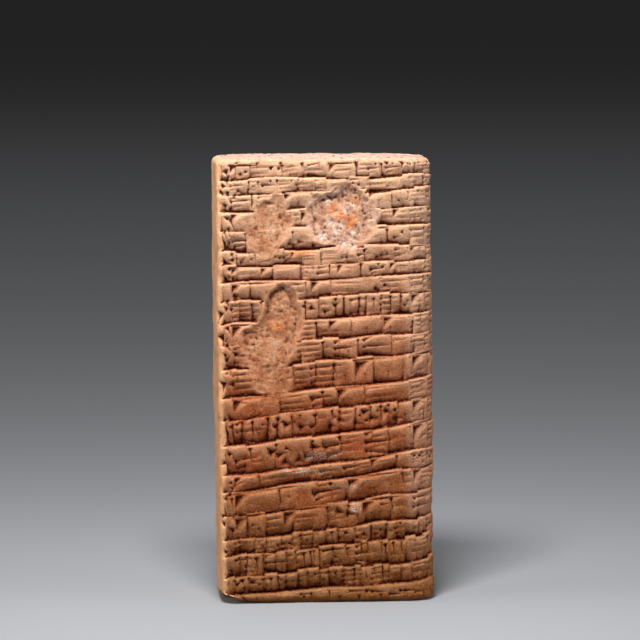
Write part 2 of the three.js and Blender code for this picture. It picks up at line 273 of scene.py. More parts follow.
def stack(w, h, draw):
    """Two or three level strokes one above the other, now and then closed by an upright."""
    count = 2 if draw() < 0.5 else 3
    marks = []
    for i in range(count):
        y = -h * (0.14 + (0.78 * (i + 0.3)) / count)
        x = 0.2 + 0.3 * draw()
        marks.append(stroke(x, y, 0.86 * w, 3 * (draw() - 0.5), (0.8 * h) / count, 0.6, 0.66 * h / count))
    if draw() < 0.45:
        marks.append(stroke(0.86 * w, -0.08 * h, 0.84 * h, -90, 0.32 * h))
    return marks


def uprights(w, h, draw):
    """Two or three uprights side by side."""
    count = 3 if w > 0.9 * h else 2
    marks = []
    for i in range(count):
        y = -h * (0.06 + 0.1 * draw())
        marks.append(stroke((w * (i + 0.5)) / count, y, 0.84 * h, -90 + 6 * (draw() - 0.5), 0.4 * h))
    return marks


def hooks(w, h, draw):
    """Two or three short slanting heads."""
    count = 2 + int(draw() * 2)
    marks = []
    for i in range(count):
        y = -h * (0.3 + 0.4 * draw())
        marks.append(stroke(w * (0.12 + (0.76 * i) / count), y, 0.46 * h, -40 + 80 * draw(), 0.5 * h))
    return marks


def box(w, h, draw):
    """Two level strokes and two uprights round a short slanting one."""
    marks = [
        stroke(0.1 * w, -0.2 * h, 0.8 * w, 0, 0.34 * h, 0.6, 0.16 * h),
        stroke(0.1 * w, -0.8 * h, 0.8 * w, 0, 0.34 * h, 0.6, 0.3 * h),
        stroke(0.1 * w, -0.14 * h, 0.72 * h, -90, 0.26 * h),
        stroke(0.86 * w, -0.14 * h, 0.72 * h, -90, 0.34 * h),
    ]
    x = w * (0.36 + 0.1 * draw())
    marks.append(stroke(x, -0.5 * h, 0.34 * h, -30 * draw(), 0.34 * h))
    return marks


def cross(w, h, draw):
    """A level stroke crossed by an upright, over a shorter one."""
    first = stroke(0.06 * w, -h * (0.42 + 0.1 * draw()), 0.9 * w, 2, 0.48 * h, 0.6, 0.3 * h)
    second = stroke(w * (0.45 + 0.15 * draw()), -0.08 * h, 0.84 * h, -90, 0.36 * h)
    return [first, second, stroke(0.15 * w, -0.78 * h, 0.5 * w, 12 * draw(), 0.3 * h, 0.5, 0.2 * h)]


def fan(w, h, draw):
    """Three strokes that spread from the left."""
    marks = []
    for i in range(3):
        x = 0.1 * w + 0.2 * draw()
        y = -h * (0.2 + 0.28 * i)
        marks.append(stroke(x, y, 0.8 * w, 14 - 16 * i + 6 * draw(), 0.34 * h, 0.5, 0.2 * h))
    return marks


FIGURES = {
    "bar": bar, "stack": stack, "uprights": uprights, "hooks": hooks, "box": box, "cross": cross, "fan": fan,
}
CELL_WIDTHS = {"bar": 2.1, "stack": 1.3, "uprights": 0.9, "hooks": 1.1, "box": 1.2, "cross": 1.3, "fan": 1.4}
STYLES = {
    "m": {"bar": 3, "stack": 3, "uprights": 1, "hooks": 2, "box": 1, "cross": 2, "fan": 1},
    "l": {"bar": 8, "stack": 1, "uprights": 1, "hooks": 1, "box": 0, "cross": 1, "fan": 0},
    "d": {"bar": 0, "stack": 3, "uprights": 2, "hooks": 3, "box": 3, "cross": 2, "fan": 2},
    "e": {"bar": 3, "stack": 5, "uprights": 1, "hooks": 1, "box": 0, "cross": 1, "fan": 0},
    "b": {"bar": 5, "stack": 2, "uprights": 1, "hooks": 1, "box": 0, "cross": 0, "fan": 0},
}


def draw_figure(style, draw):
    """A figure's name, drawn by its weight in the style."""
    weights = STYLES[style]
    rest = draw() * sum(weights.values())
    for name, weight in weights.items():
        rest -= weight
        if rest < 0:
            return name
    return "bar"


def row_strokes(left, right, height, style, top, climb, draw):
    """The strokes of one row, in cells from left to right under the line top(u)."""
    marks = []
    u = left
    while u < right - 0.6 * height:
        name = draw_figure(style, draw)
        longer = 1.5 if name == "bar" and style == "l" else 1.0
        stretch = longer * (0.85 + 0.4 * draw())
        width = min(CELL_WIDTHS[name] * stretch * height, right - u)
        for mark in FIGURES[name](width, height, draw):
            s = u + mark["x"]
            marks.append({**mark, "s": s, "v": top(s) + mark["y"], "turn": mark["turn"] + climb})
        u += width
    return marks


def climb_at(v):
    """The angle at which the line at height v climbs to the right: a bell over the height, in degrees."""
    bell = math.exp(-(((v - CLIMB["height"]) / CLIMB["spread"]) ** 2))
    return CLIMB["level"] + (CLIMB["most"] - CLIMB["level"]) * bell


def rule_height(v, s):
    """Height at distance s of the ruled line that crosses the middle of the front at v."""
    return v + math.tan(math.radians(climb_at(v))) * s


def writing(seed):
    """Every ruled line and stroke: the front, its rolled-over edge and the back."""
    draw = seeded(seed)
    rules = []
    marks = []
    v = FIRST_RULE
    for height, style in zip(ROW_HEIGHTS, ROW_STYLES):
        def top(s, at=v):
            return rule_height(at, s)

        rules.append(v)
        marks += row_strokes(TEXT_LEFT, TEXT_RIGHT, height, style, top, climb_at(v), draw)
        edge_right = EDGE_RIGHT - 3 * draw()
        marks += row_strokes(EDGE_LEFT, edge_right, height * 0.9, "e", top, climb_at(v), draw)
        v -= height
    rules.append(v)
    behind = GIRTH / 2
    back_rules = []
    for i in range(BACK_ROWS["count"]):
        at = BACK_ROWS["first"] - i * BACK_ROWS["pitch"]
        back_rules.append(at)
        left = behind + BACK_ROWS["left"]
        right = behind + BACK_ROWS["right"] - 8 * draw()
        marks += row_strokes(left, right, BACK_ROWS["pitch"], "b", lambda s, at=at: at, 0, draw)
    return rules, back_rules, marks


CELLS = {"m": (3.4, 5.2), "d": (1.6, 2.4), "l": (6.0, 9.0)}  # least width of a cell, and how much more
LIFTS = {"m": 0.9, "d": 0.9, "l": 0.3}  # how far the lips of neighbouring cells stand apart in height
ENDS = {"m": 0.3, "d": 0.42, "l": 0.2}  # how deep the rounded ends of a cell fall at most


def row_cells(seed):
    """For each row, the cells that the reed's flat side pressed: where, how wide, how far its lip is set
    back, how hard it was pressed, how much harder at its right-hand end, how far its lip is raised, and how
    deep its ends fall."""
    draw = seeded(seed)
    rows = []
    for style in ROW_STYLES:
        least, more = CELLS[style]
        cells = []
        s = TEXT_LEFT - 2
        while s < EDGE_RIGHT:
            wide = least + more * draw()
            cells.append({"s": s, "wide": wide, "back": 0.3 * draw(), "press": 0.6 + 0.75 * draw(),
                          "tilt": 0.9 * (draw() - 0.5), "lift": LIFTS[style] * (draw() - 0.5),
                          "end": ENDS[style] * draw()})
            s += wide
        rows.append(cells)
    return rows


LONE_HOLE = {**stroke(0, 0, 0.8, 0, 1.1, 0.5), "s": -9.5, "v": 25.6, "turn": -60}


def small_marks(rules, rows, seed):
    """The finer marks between: thin uprights that part the row into cells, thin level strokes and slants
    inside the cells, a ragged run down the left margin, and small cells on the rolled-over edge."""
    draw = seeded(seed)
    marks = []
    for top, height, cells in zip(rules, ROW_HEIGHTS, rows):
        climb = climb_at(top)

        def add(s, drop, tail, turn, head, lean=0.0, share=0.5, top=top, climb=climb):
            place = {"s": s, "v": rule_height(top, s) - drop, "turn": turn + climb}
            marks.append({**stroke(0, 0, tail, 0, head, share, lean), **place})

        for cell in cells:
            s = cell["s"]
            wide = cell["wide"]
            if not TEXT_LEFT + 0.5 < s < TEXT_RIGHT - 0.6:
                continue
            drop = height * (0.02 + 0.1 * draw())
            add(s, drop, height * (0.78 + 0.2 * draw()), -93 + 6 * draw(), 0.9 + 1.1 * draw())
            kind = draw()
            if kind < 0.5:
                count = 1 + int(2.2 * draw())
                for i in range(count):
                    drop = height * (0.2 + 0.66 * (i + 0.6 * draw()) / count)
                    tail = wide * (0.55 + 0.4 * draw())
                    add(s + 0.25, drop, tail, 5 * (draw() - 0.5), 1.1, 0.45 * height / count, 0.6)
            elif kind < 0.8:
                for i in range(2):
                    add(s + wide * (0.25 + 0.35 * i), height * (0.25 + 0.4 * draw()), 0.35 * height,
                        -75 + 110 * draw(), 1.0 + 0.8 * draw())
            else:
                add(s + 0.5 * wide, height * 0.55, 0.42 * height, -90, 0.9)
        for _ in range(4):
            s = TEXT_LEFT - 3.0 + 5.2 * draw()
            add(s, height * draw(), 1.4 + 2.4 * draw(), -115 + 160 * draw(), 1.4 + 1.9 * draw())
        s = EDGE_LEFT - 0.4 + 0.8 * draw()
        while s < EDGE_RIGHT - 2:
            wide = 1.6 + 2.4 * draw()
            add(s, height * 0.08, 0.85 * height, -92 + 5 * draw(), 0.9 + 0.8 * draw())
            count = 1 + int(0.7 + height * 0.5 * draw())
            for i in range(count):
                drop = height * (0.15 + 0.75 * (i + 0.5 * draw()) / count)
                add(s + 0.2, drop, wide * (0.6 + 0.4 * draw()), 3 * draw(), 1.1, 0.5 * height / count, 0.6)
            s += wide
    return marks + [LONE_HOLE] + end_marks(draw)


def end_marks(draw):
    """Heads that notch the upper arris, and small loose strokes in the strip under the last line."""
    marks = []
    s = TEXT_LEFT + 2
    while s < EDGE_RIGHT - 2:
        marks.append({**stroke(0, 0, 2.2 + draw(), 0, 1.4 + 0.9 * draw(), 0.5, 0), "s": s, "v": HEIGHT - 0.35,
                      "turn": -75 - 30 * draw()})
        s += 3.5 + 6 * draw()
    s = TEXT_LEFT
    while s < EDGE_RIGHT - 2:
        level = draw() < 0.6
        turn = 6 * draw() if level else -90 + 20 * draw()
        tail = 2.0 + 3.5 * draw() if level else 1.6 + draw()
        marks.append({**stroke(0, 0, tail, 0, 0.9 + 0.7 * draw(), 0.5, 0.3), "s": s, "v": 1.7 + 1.4 * draw(),
                      "turn": turn})
        s += 0.9 + 1.8 * draw()
    return marks


def pit(x, y, outline, floor, depth):
    """A three-walled pit: depth times the least, over the three sides, of how far a point lies inside
    that side against how far the floor point does."""
    share = np.full_like(x, np.inf)
    for i in range(3):
        ax, ay = outline[i]
        bx, by = outline[(i + 1) % 3]
        side = (bx - ax) * (y - ay) - (by - ay) * (x - ax)
        whole = (bx - ax) * (floor[1] - ay) - (by - ay) * (floor[0] - ax)
        share = np.minimum(share, side / whole)
    return depth * np.clip(share, 0, 1)


def groove(x, y, tail, upper, lower, depth):
    """A tail: depth times 1 - (x / tail)³ along it, and across it a gentle upper wall and a steep lower
    one that both narrow towards the tail's end."""
    along = np.clip(x / tail, 0, 1)
    narrow = 1 - 0.6 * along
    across = np.minimum(1 - y / (upper * narrow), 1 + y / (lower * narrow))
    return depth * (1 - along ** 3) * np.clip(across, 0, 1) * (x > 0)


def press(depths, mark, slope):
    """Presses one stroke into the field of depths, which keeps the deeper of the two everywhere."""
    reach = mark["tail"] + mark["head"] + 1
    i0, i1 = np.searchsorted(S_AXIS, [mark["s"] - reach, mark["s"] + reach])
    j0, j1 = np.searchsorted(V_AXIS, [mark["v"] - reach, mark["v"] + reach])
    if i0 == i1 or j0 == j1:
        return
    turn = math.radians(mark["turn"])
    dx = S[j0:j1, i0:i1] - mark["s"]
    dy = V[j0:j1, i0:i1] - mark["v"]
    x = dx * math.cos(turn) + dy * math.sin(turn)
    y = dy * math.cos(turn) - dx * math.sin(turn)
    head = mark["head"]
    left = head * (1 - mark["drop"])
    right = head * mark["drop"]
    depth = DEEPEST * (1 - math.exp(-slope * head / DEEPEST))
    point = min(0.95 * head, mark["tail"])
    shape = pit(x, y, [(0, left), (0, -right), (point, 0)], (0.22 * point, (left - right) / 4), depth)
    side = max(0.16 * head, 0.26)
    tail = groove(x, y, mark["tail"], max(mark["lean"], side), side, min(0.8 * depth, 0.9))
    window = depths[j0:j1, i0:i1]
    np.maximum(window, np.maximum(shape, tail), out=window)


LEDGE_LEAST = 0.8  # how far a row's face leans in at its foot
LEDGE_SHARE = 0.08  # and how much more for each millimetre of its height


def cell_values(cells):
    """Along the field, by column: how hard each cell was pressed, how far its lip is set back, more at its
    rounded ends by a bell of the distance to the nearer end, and how far its lip is raised."""
    press_by = np.ones(COLUMNS)
    back = np.zeros(COLUMNS)
    lift = np.zeros(COLUMNS)
    for cell in cells:
        share = (S_AXIS - cell["s"]) / cell["wide"]
        here = (share >= 0) & (share < 1)
        end = np.minimum(share[here], 1 - share[here]) * cell["wide"]
        press_by[here] = cell["press"] + cell["tilt"] * (share[here] - 0.5)
        back[here] = cell["back"] + cell["end"] * np.exp(-(end / 0.45) ** 2)
        lift[here] = cell["lift"]
    return press_by, back, lift


def row_ledges(rules, wander, rows):
    """Each row's face leans in: its depth is the square of the share of the way down the row, times how
    hard its cell was pressed, and the next line's lip starts again near nothing."""
    depth = np.zeros_like(S)
    cells = [cell_values(row) for row in rows]
    lips = [rule + math.tan(math.radians(climb_at(rule))) * S + shift for rule, shift in zip(rules, wander)]
    for i, (_, _, lift) in enumerate(cells):
        lips[i] = lips[i] + lift
    for i, (height, style, (press_by, back, _)) in enumerate(zip(ROW_HEIGHTS, ROW_STYLES, cells)):
        share = (lips[i] - V) / (lips[i] - lips[i + 1])
        harder = 1.25 if style == "d" else 1.0
        face = np.clip(share, 0, 1) ** 2 * (LEDGE_LEAST + LEDGE_SHARE * height) * press_by * harder + back
        depth = np.where((share >= 0) & (share < 1), face, depth)
    return depth


def field_reach(left, right, soft):
    """1 between left and right on the skin, and 0 outside, over a soft edge."""
    return smooth_step(left - soft, left + soft, S) * (1 - smooth_step(right - soft, right + soft, S))


def edge_fade():
    """1 over the front, and less on the narrow field at the right that rolls over the edge."""
    over_edge = smooth_step(EDGE_LEFT - 1.8, EDGE_LEFT + 0.9, S)
    return 1 - 0.15 * over_edge * (1 - smooth_step(GIRTH / 2 - 30, GIRTH / 2 - 26, S))


def written_relief(props):
    """The depth of the writing over the whole skin: leaning row faces, strokes and the back's lines."""
    rules, back_rules, marks = writing(props.seed)
    rows = row_cells(props.seed + 2)
    marks += small_marks(rules, rows, props.seed + 1)
    wave = clouds(11, 9.0)
    wander = [0.16 * wave[(37 * i) % ROWS][None, :] for i in range(len(rules))]
    pressure = np.clip(1 + 0.2 * clouds(12, 6.0), 0.5, 1.5)
    ledges = row_ledges(rules, wander, rows) * props.ledge * pressure
    ledges *= field_reach(TEXT_LEFT - 2.6, EDGE_RIGHT - 1, 0.6) * (1 - 0.5 * smooth_step(21, 26, S))
    strokes = np.zeros_like(S)
    for mark in marks:
        if 0.6 * END_MARGINS["foot"] < mark["v"] < HEIGHT - 0.2 * END_MARGINS["head"]:
            press(strokes, mark, props.slope)
    for at in back_rules:
        line = pit(np.abs(S - GIRTH / 2), V - at, [(-60, 1.0), (-60, -0.25), (60, 0)], (-10, 0), 0.4)
        behind = field_reach(GIRTH / 2 + BACK_ROWS["left"], GIRTH / 2 + BACK_ROWS["right"], 0.6)
        ledges = np.maximum(ledges, line * behind)
    return (ledges + strokes - 0.45 * np.minimum(ledges, strokes)) * edge_fade()


# ---- Damage ----

def lost(s, v, across, high, turn=0.0):
    """How far a place is from the middle of a loss: 0 there, 1 at its rim, as an ellipse measures it."""
    angle = math.radians(turn)
    x = (S - s) * math.cos(angle) + (V - v) * math.sin(angle)
    y = (V - v) * math.cos(angle) - (S - s) * math.sin(angle)
    return np.sqrt((x / across) ** 2 + (y / high) ** 2), y / high


def dish(spot, depth, rim, ragged, tilt=0.0):
    """A loss's depth and its cover: a rim that falls over a short way, made ragged by noise, and a floor
    that is deeper towards its upper end by tilt."""
    away, up = spot
    edge = 1 - (away + ragged)
    cover = smooth_step(0, rim, edge)
    return depth * cover ** 0.8 * (1 + tilt * up), cover


CRATER = (3.6, 91.2, 9.7, 8.8)  # each loss: place, half sizes and, where it leans, its turn in degrees
HOLLOW = (-13.6, 89.0, 6.6, 9.0, -12)
ARCH = (-9.9, 67.6, 5.6, 9.4, -4)
BELOW_ARCH = (-13.4, 57.6, 9.4, 10.8)
JOINED = 0.14
ALMOND = (5.2, 28.3, 3.8, 1.3, 8)
EMBERS = [(2.6, 92.6, 2.6, 2.2), (7.4, 95.0, 1.8, 1.3), (6.0, 90.4, 1.8, 2.2), (-11.8, 66.0, 1.8, 1.4),
          (-6.0, 83.4, 3.4, 1.2)]  # orange lumps in the broken clay: place and half sizes
CHALKS = [(6.6, 22.6, 2.6, 1.3), (-2.0, 35.2, 4.6, 1.4), (-5.5, 31.4, 7.5, 0.9), (4.4, 27.6, 3.6, 0.5),
          (0.6, 30.2, 1.2, 0.6)]  # pale salt on the face


def spots(places, ragged):
    """1 in the middle of each spot, falling to 0 at its edge as 1 - distance² does, with a ragged edge."""
    cover = np.zeros_like(S)
    for s, v, across, high in places:
        away, _ = lost(s, v, across, high)
        np.maximum(cover, np.clip(1 - (away + ragged) ** 2, 0, 1), out=cover)
    return cover


def damaged_relief(writing_depth, props):
    """The writing, worn, with the lost patches cut over it. Returns heights and the covers by name."""
    coarse = clouds(21, 5.0)
    middle = clouds(22, 1.6)
    fine = clouds(23, 0.7)
    grain = clouds(24, 0.3)
    ragged = 0.04 * coarse + 0.03 * middle
    crater, crater_cover = dish(lost(*CRATER), props.crater, 0.4, 0.9 * ragged, 0.35)
    worn, worn_cover = dish(lost(*HOLLOW), 0.85, 0.5, 1.5 * ragged, 0.5)
    arch = lost(*ARCH)[0]
    below = lost(*BELOW_ARCH)[0]
    # The arch and the spall under it run into one: the soft minimum of the two, by a log of exponents.
    away = -JOINED * np.log(np.exp(-arch / JOINED) + np.exp(-below / JOINED))
    low = smooth_step(-66, -55, -V)
    soft_side = smooth_step(-11, -6, S)
    spall_cover = smooth_step(0, 0.26 + 0.45 * soft_side + 0.6 * low, 1 - away - ragged * (0.8 + 2.4 * low))
    spall = spall_cover ** 0.8 * (1.6 - 0.7 * low)
    rough = np.maximum(worn_cover, spall_cover)
    patches = np.maximum(np.maximum(crater, worn), spall)
    floor = patches + rough * (0.09 * coarse + 0.06 * middle + 0.05 * fine + 0.02 * grain)
    floor += crater_cover * (0.12 * coarse + 0.06 * middle + 0.06 * fine + 0.045 * grain)
    kept = writing_depth * (1 - np.maximum(rough, crater_cover))
    heights = -np.maximum(kept, floor * (np.maximum(rough, crater_cover) > 0))
    covers = {"crust": np.clip(crater_cover + 0.25 * middle * (crater_cover > 0), 0, 1), "spall": rough}
    covers["strip"] = field_reach(EDGE_LEFT - 0.8, EDGE_RIGHT + 1, 0.9) * smooth_step(2, 26, V)
    covers["rim"] = 1 - field_reach(TEXT_LEFT - 1.6, GIRTH - 50, 0.5)
    covers["ember"] = soften(spots(EMBERS, 0.25 * middle + 0.2 * fine), 0.35)
    ring = np.exp(-((lost(*ALMOND)[0] - 1) / 0.09) ** 2)  # a shallow scratch in the shape of an almond
    covers["chalk"] = np.maximum(spots(CHALKS, 0.25 * middle), 0.6 * ring)
    heights -= 0.12 * ring
    return heights, covers


def worn_surface(heights):
    """Clay that the reed pushed up stands a little proud round each stroke; ridges are rounded by taking
    the lower of the field and its blur, and the whole is uneven by noise of two sizes."""
    cut = np.clip(-heights, 0, None)
    heights = heights + 0.18 * soften(cut, 0.9) - 0.08
    heights = soften(heights, 0.05)
    heights = np.minimum(heights, soften(heights, 0.22) + 0.01)
    return heights + 0.09 * clouds(31, 7.0) + 0.03 * clouds(32, 2.4)


def sample(field, s, v):
    """The field between its points, by weights of the four nearest: round the girth it repeats."""
    i = np.mod((s - SEAM) / (GIRTH / COLUMNS) - 0.5, COLUMNS)
    j = np.clip(v / (HEIGHT / ROWS) - 0.5, 0, ROWS - 1.001)
    i0 = np.floor(i).astype(int) % COLUMNS
    j0 = np.floor(j).astype(int)
    i1 = (i0 + 1) % COLUMNS
    fi = i - np.floor(i)
    fj = j - j0
    low = field[j0, i0] * (1 - fi) + field[j0, i1] * fi
    high = field[j0 + 1, i0] * (1 - fi) + field[j0 + 1, i1] * fi
    return low * (1 - fj) + high * fj


# ---- The mesh ----

MOST_TRIANGLES = 196000
FINE = 0.15  # the mesh's step where there is writing
UNDERCUT = 1.8
AWAY_FROM_ENDS = 50  # the height at which the fields of noise are read for the ends of the block
FOOT_LOSS = ((-27.0, -9.0, -1.6), (9.5, 9.5, 4.2))  # the broken corner: an ellipsoid's middle and half axes


def stations():
    """Distances round the skin, close together where there is writing to show and wider elsewhere."""
    fine = np.arange(-26.5, 35.5, FINE)
    right = np.arange(35.5, GIRTH / 2 - 22, 0.7)
    back = np.arange(GIRTH / 2 - 22, GIRTH / 2 + 22, 0.35)
    left = np.arange(GIRTH / 2 + 22, GIRTH - 26.5 - 0.3, 0.7)
    return np.concatenate([fine, right, back, left])


def bite(points, centre, radii, rough):
    """Takes a bite out of the points: each one inside an ellipsoid moves straight out from its middle
    to its surface, whose radius varies by the rough share."""
    away = (points - centre) / radii
    distance = np.linalg.norm(away, axis=-1)
    inside = distance < 1 + rough
    reach = np.where(inside, (1 + rough) / np.maximum(distance, 1e-6), 1.0)
    return np.where(inside[..., None], centre + away * radii * reach[..., None], points)


def grid_faces(rings, columns):
    """Two triangles for each step of a grid that closes on itself sideways, then a fan at each pole."""
    k, j = np.meshgrid(np.arange(rings - 1), np.arange(columns), indexing="ij")
    a = (k * columns + j).ravel()
    b = (k * columns + (j + 1) % columns).ravel()
    wall = np.concatenate([np.stack([a, b, b + columns], 1), np.stack([a, b + columns, a + columns], 1)])
    here = np.arange(columns)
    after = (here + 1) % columns
    foot_pole = rings * columns
    last = (rings - 1) * columns
    foot = np.stack([np.full(columns, foot_pole), after, here], 1)
    head = np.stack([np.full(columns, foot_pole + 1), last + here, last + after], 1)
    return np.concatenate([wall, foot, head])


def tablet_surface(props):
    """Points, faces and named values of the whole tablet: foot rings, wall and head rings on one grid,
    pushed along the plain block's normal by the relief."""
    heights, covers = damaged_relief(written_relief(props), props)
    heights = worn_surface(heights)
    # How far each place lies below its blurred surroundings, wide and narrow; the colours use these for
    # painted shade in hollows and grooves, and, where negative, for a painted highlight on proud lips.
    hollow = np.clip((soften(heights, 1.0) - heights) / 0.8, -1, 1)
    narrow = np.clip((soften(heights, 0.4) - heights) / 0.35, -1, 1)
    s = stations()
    v = np.concatenate([
        FOOT_RADIUS * (1 - np.cos(np.linspace(0, np.pi / 2, 9)))[:-1],
        np.arange(FOOT_RADIUS, HEIGHT - HEAD_RADIUS, FINE),
        HEIGHT - HEAD_RADIUS * (1 - np.cos(np.linspace(np.pi / 2, 0, 14))),
    ])
    v[0] = 0
    ss, vv = np.meshgrid(s, v)
    wall = skin_points(ss, vv)
    aside = np.roll(wall, -1, axis=1) - np.roll(wall, 1, axis=1)
    up = np.gradient(wall, axis=0)
    normal = np.cross(aside, up)
    normal /= np.linalg.norm(normal, axis=-1, keepdims=True)
    near_foot = smooth_step(0.0, 0.9, vv)
    wall = wall + normal * (sample(heights, ss, vv) * near_foot)[..., None]
    # The foot is a little hollow under the front, by a bell of the height, so that a thin dark gap shows.
    wall[..., 1] += UNDERCUT * smooth_step(0.3, 0.9, -normal[..., 1]) * np.exp(-(vv / 0.6) ** 2)
    foot_shares = np.linspace(0.06, 0.96, 12)
    foot = wall[0][None] * foot_shares[:, None, None]
    foot[..., 2] = 0
    head_shares = 1 - np.linspace(0.02, 0.97, 44)
    head_centre = np.array([LEAN, 0, HEIGHT])
    head = head_centre + (wall[-1][None] - head_centre) * head_shares[:, None, None]
    lumps = clouds(41, 2.5) * 0.07 + clouds(42, 0.8) * 0.04
    pocks = np.clip(clouds(43, 0.8) - 1.6, 0, 1.2) * 0.6
    away = head - head_centre
    uneven = sample(lumps - pocks, away[..., 0], AWAY_FROM_ENDS + away[..., 1])
    head[..., 2] += HEAD_DOME * (1 - head_shares[:, None] ** 2)
    head[..., 2] += uneven * smooth_step(0, 0.1, 1 - head_shares)[:, None]
    grid = np.concatenate([foot, wall, head])
    poles = np.array([[0, 0, 0], [LEAN, 0, HEIGHT + HEAD_DOME]])
    noise = 0.05 * clouds(44, 2.5) + 0.03 * clouds(45, 0.8)
    ragged = sample(noise, grid[..., 0], AWAY_FROM_ENDS + grid[..., 1] + grid[..., 2])
    grid = bite(grid, np.array(FOOT_LOSS[0]), np.array(FOOT_LOSS[1]), ragged)
    columns = len(s)

    def spread(field):
        values = sample(field, ss, vv)
        under = np.zeros(foot[..., 0].size)
        over = np.zeros(head[..., 0].size + len(poles))
        return np.concatenate([under, values.ravel(), over])

    fields = {**covers, "hollow": hollow, "groove": narrow}
    values = {name: spread(field) for name, field in fields.items()}
    points = np.concatenate([grid.reshape(-1, 3), poles])
    return points, grid_faces(len(grid), columns), values


def mesh_object(name, points, faces, values):
    """A smooth-shaded mesh object in metres, with one float attribute for each named value."""
    mesh = bpy.data.meshes.new(name)
    mesh.from_pydata(points * MM, [], faces)
    for key, field in values.items():
        layer = mesh.attributes.new(key, "FLOAT", "POINT")
        layer.data.foreach_set("value", field.astype(np.float32))
    mesh.validate()
    mesh.update()
    piece = bpy.data.objects.new(name, mesh)
    bpy.context.scene.collection.objects.link(piece)
    return piece


def thin_out(piece, most):
    """Collapses the flattest places until the mesh has at most that many triangles."""
    modifier = piece.modifiers.new("thin", "DECIMATE")
    modifier.ratio = most / len(piece.data.polygons)
    scene_graph = bpy.context.evaluated_depsgraph_get()
    thinned = bpy.data.meshes.new_from_object(piece.evaluated_get(scene_graph))
    piece.modifiers.clear()
    piece.data = thinned
    thinned.shade_smooth()


# ---- Clay ----

def add_node(tree, kind, settings=None, inputs=None):
    """Adds a node, sets its plain properties, and links each input to a socket or sets its value."""
    node = tree.nodes.new(kind)
    for key, value in (settings or {}).items():
        setattr(node, key, value)
    for key, value in (inputs or {}).items():
        if isinstance(value, bpy.types.NodeSocket):
            tree.links.new(value, node.inputs[key])
        else:
            node.inputs[key].default_value = value
    return node


def coat(tree, under, value, reach, strength, over):
    """Lays a colour over another where a value runs from reach[0], none of it, to reach[1], its strength.
    The strength may be a socket; the colour is an sRGB code, linear values or a socket."""
    ends = {"Value": value, "From Min": reach[0], "From Max": reach[1], "To Max": strength}
    share = add_node(tree, "ShaderNodeMapRange", {"clamp": True}, ends).outputs[0]
    if isinstance(over, str):
        over = linear(over)
    if not isinstance(over, bpy.types.NodeSocket):
        over = (*over, 1)
    # Inputs 0, 6 and 7 of a colour mix are its factor and its two colours, and output 2 is the result.
    mix = add_node(tree, "ShaderNodeMix", {"data_type": "RGBA"}, {0: share, 6: under, 7: over})
    return mix.outputs[2]


def grained(tree, place, size, stops, rough=0.7):
    """A colour that changes with noise of one size in millimetres, by stops of noise value and colour."""
    lumps = add_node(tree, "ShaderNodeTexNoise", None,
                     {"Vector": place, "Scale": 1 / (size * MM), "Detail": 5.0, "Roughness": rough})
    node = add_node(tree, "ShaderNodeValToRGB", None, {"Fac": lumps.outputs["Fac"]})
    band = node.color_ramp
    while len(band.elements) < len(stops):
        band.elements.new(1.0)
    for element, (at, code) in zip(band.elements, stops):
        element.position = at
        element.color = (*linear(code), 1)
    return node.outputs["Color"]


